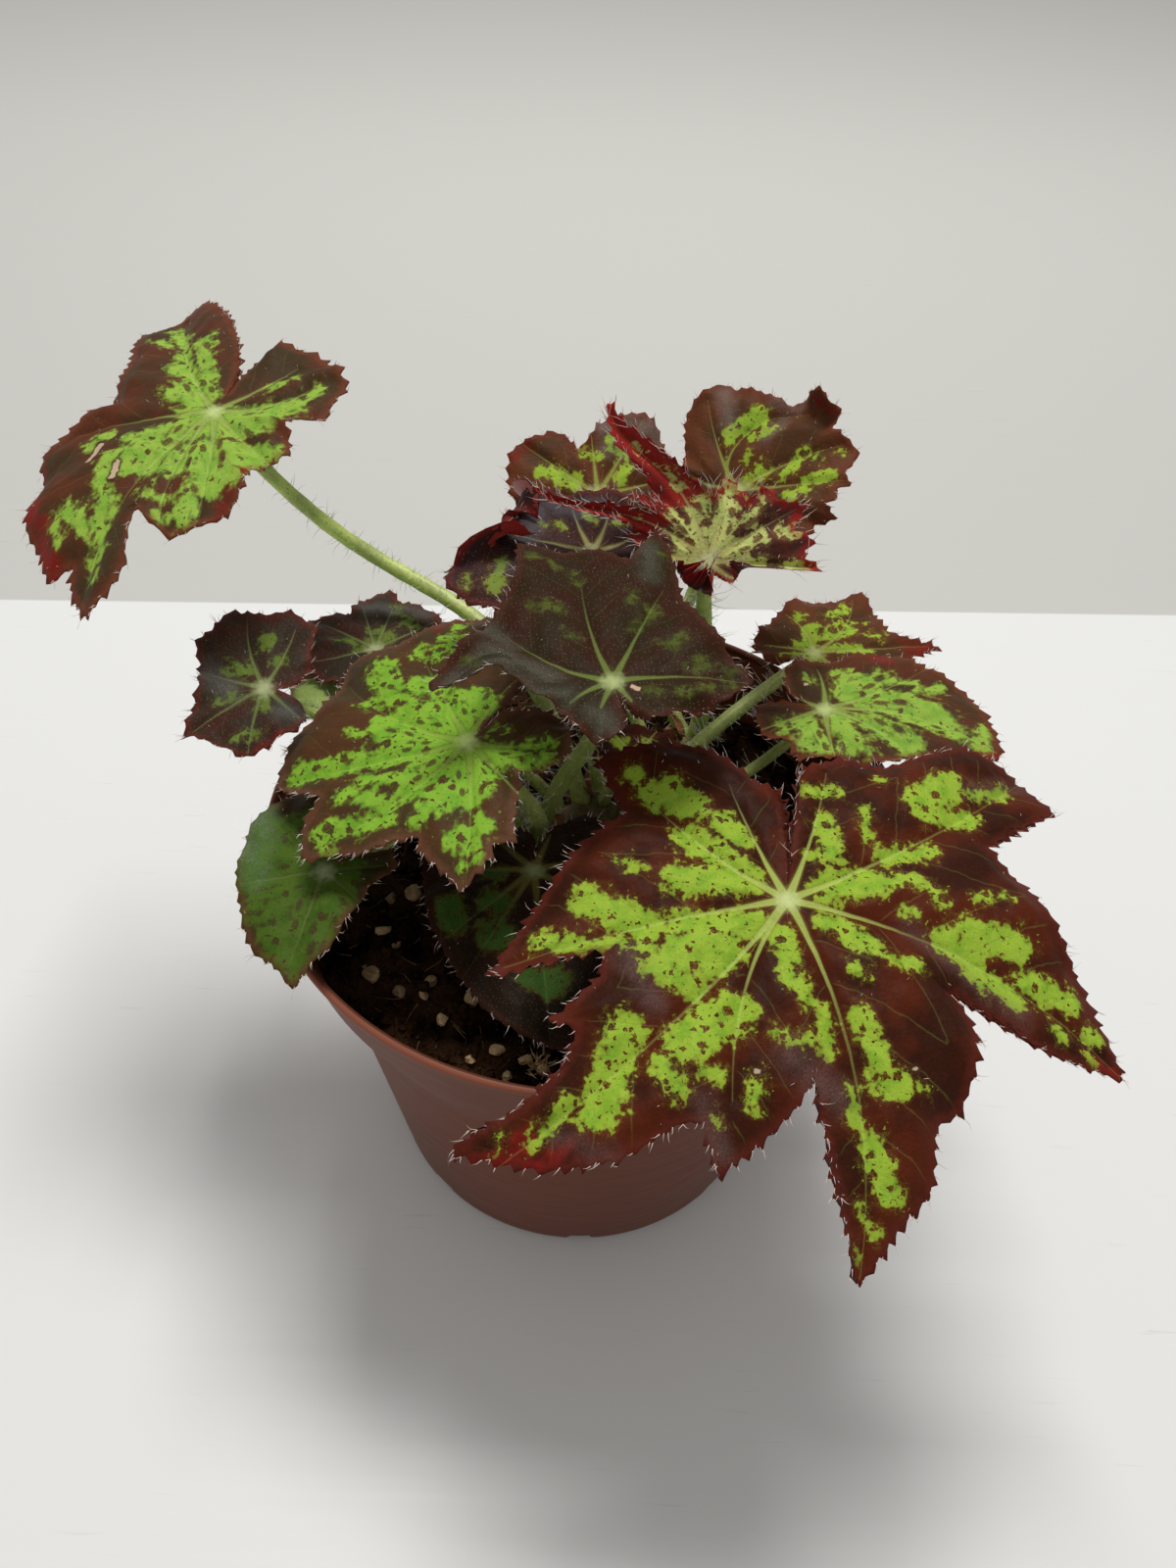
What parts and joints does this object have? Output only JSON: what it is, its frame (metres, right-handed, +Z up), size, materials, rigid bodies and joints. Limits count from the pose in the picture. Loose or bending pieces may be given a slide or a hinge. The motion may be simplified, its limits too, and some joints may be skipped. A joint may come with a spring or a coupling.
{
  "type": "potted begonia",
  "caption": "Potted begonia: patterned, lobed leaves on hairy stalks from a creeping rhizome, in soil in a tapered plastic nursery pot.",
  "frame": {"origin": "centre of the pot's flat underside, on the surface it stands on", "axes": "+Z up along the pot's axis; the large front leaf hangs over the rim towards +X and -Y, and the high leaf reaches towards -X"},
  "size_m": [0.1851, 0.1743, 0.152],
  "materials": {
    "terracotta_plastic": "satin",
    "potting_soil": "matte",
    "rhizome_bark": "matte",
    "petiole_green": "satin",
    "blade_maroon": "satin",
    "blade_green": "satin",
    "blade_dark": "satin"
  },
  "bodies": {
    "root": {"nursery_pot": "terracotta_plastic", "soil": "potting_soil", "rhizome": "rhizome_bark", "front_petiole": "petiole_green", "front_leaf": "blade_maroon", "left_high_petiole": "petiole_green", "left_high_leaf": "blade_green", "bright_petiole": "petiole_green", "bright_leaf": "blade_green", "dark_petiole": "petiole_green", "dark_leaf": "blade_dark", "rim_petiole": "petiole_green", "rim_leaf": "blade_green", "low_petiole": "petiole_green", "low_leaf": "blade_dark", "left_small_petiole": "petiole_green", "left_small_leaf": "blade_dark", "left_back_petiole": "petiole_green", "left_back_leaf": "blade_dark", "pale_petiole": "petiole_green", "pale_leaf": "blade_green", "purple_petiole": "petiole_green", "purple_leaf": "blade_dark", "young_petiole": "petiole_green", "young_leaf": "blade_maroon", "back_right_petiole": "petiole_green", "back_right_leaf": "blade_maroon", "back_left_petiole": "petiole_green", "back_left_leaf": "blade_green", "right_upper_petiole": "petiole_green", "right_upper_leaf": "blade_maroon", "right_lower_petiole": "petiole_green", "right_lower_leaf": "blade_green", "under_petiole": "petiole_green", "under_leaf": "blade_maroon"}
  },
  "joints": []
}
